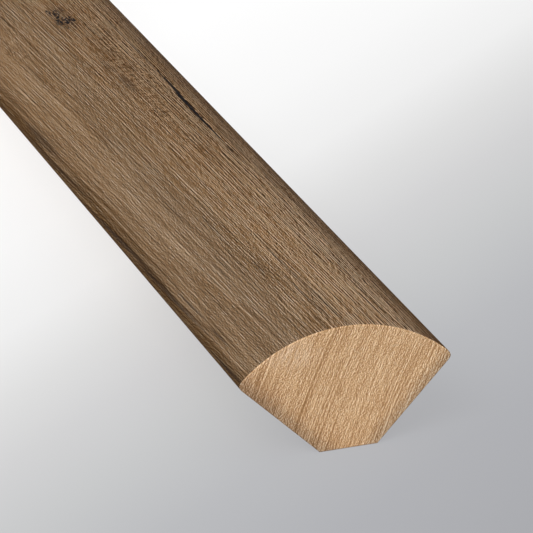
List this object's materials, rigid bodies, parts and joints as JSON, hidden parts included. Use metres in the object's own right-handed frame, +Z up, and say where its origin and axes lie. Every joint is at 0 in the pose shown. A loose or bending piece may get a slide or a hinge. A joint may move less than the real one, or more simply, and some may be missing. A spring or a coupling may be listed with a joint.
{
  "type": "quarter round moulding",
  "caption": "Length of solid wood quarter round trim with a stained, rounded face, eased tips, sawn ends and a chamfered back corner, for the joint of a wall and a floor.",
  "frame": {"origin": "middle of the back chamfer's face, halfway along the stock: the middle of the underside as it lies", "axes": "+X along the stock, towards the end that the picture shows; +Z up through the crown of the rounded face; +Y across, towards the floor leg"},
  "size_m": [1.9812, 0.0262, 0.0155],
  "materials": {
    "stained_oak": "satin"
  },
  "bodies": {
    "root": {"quarter_round": "stained_oak"}
  },
  "joints": []
}
